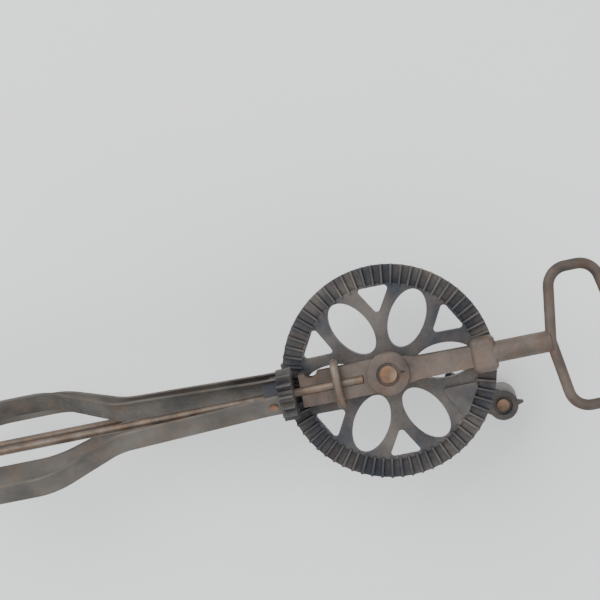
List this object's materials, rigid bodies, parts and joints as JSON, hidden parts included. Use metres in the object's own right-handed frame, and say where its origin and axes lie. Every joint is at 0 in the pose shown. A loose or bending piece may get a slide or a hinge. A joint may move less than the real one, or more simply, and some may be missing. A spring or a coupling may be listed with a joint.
{
  "type": "rotary egg beater",
  "caption": "Hand-cranked rotary beater with a toothed crank wheel, loop handle and paired strip dashers on a bent wire.",
  "frame": {"origin": "middle of the bounding box at its lowest point, with the tool lying flat", "axes": "+X along the tool towards the handle, +Z along the crank wheel axis towards the frame casting"},
  "size_m": [0.2688, 0.076, 0.0752],
  "materials": {
    "frame_iron": "aged and worn",
    "wheel_iron": "aged and worn",
    "knob_iron": "aged and worn",
    "strip_steel": "aged and worn",
    "wire_steel": "aged and worn",
    "rivet_steel": "aged and worn"
  },
  "bodies": {
    "frame": {"frame_casting": "frame_iron", "axle_pin": "rivet_steel", "front_axle_washer": "rivet_steel", "rear_axle_washer": "rivet_steel", "spindle_wire": "wire_steel", "clamp_ring": "wire_steel", "rear_spindle_washer": "rivet_steel", "front_foot_collar": "rivet_steel", "rear_foot_collar": "rivet_steel"},
    "wheel": {"drive_wheel": "wheel_iron", "crank_arm": "wheel_iron", "knob_stud": "rivet_steel", "knob_washer": "rivet_steel"},
    "knob": {"crank_knob": "knob_iron"},
    "front_dasher": {"front_pinion": "wheel_iron", "front_strip_near": "strip_steel", "front_strip_far": "strip_steel", "front_tip_boss": "rivet_steel", "front_rivet_near": "rivet_steel", "front_rivet_far": "rivet_steel"},
    "rear_dasher": {"rear_pinion": "wheel_iron", "rear_strip_near": "strip_steel", "rear_strip_far": "strip_steel", "rear_tip_boss": "rivet_steel", "rear_rivet_near": "rivet_steel", "rear_rivet_far": "rivet_steel"}
  },
  "joints": [
    {"name": "wheel_spin", "type": "hinge", "parent": "frame", "child": "wheel", "pos_m": [0.05062, 0, 0.0474], "axis": [0, 0, 1], "continuous": true},
    {"name": "knob_spin", "type": "hinge", "parent": "wheel", "child": "knob", "pos_m": [0.0878, -0.02296, 0], "axis": [0, 0, 1], "continuous": true},
    {"name": "front_dasher_spin", "type": "hinge", "parent": "frame", "child": "front_dasher", "pos_m": [0.01202, 0, 0.0584], "axis": [1, 0, 0], "continuous": true},
    {"name": "rear_dasher_spin", "type": "hinge", "parent": "frame", "child": "rear_dasher", "pos_m": [0.01202, 0, 0.0364], "axis": [1, 0, 0], "continuous": true}
  ],
  "couplings": [
    {"joint": "front_dasher_spin", "follows": "wheel_spin", "ratio": -4.6429},
    {"joint": "rear_dasher_spin", "follows": "wheel_spin", "ratio": 4.6429}
  ]
}
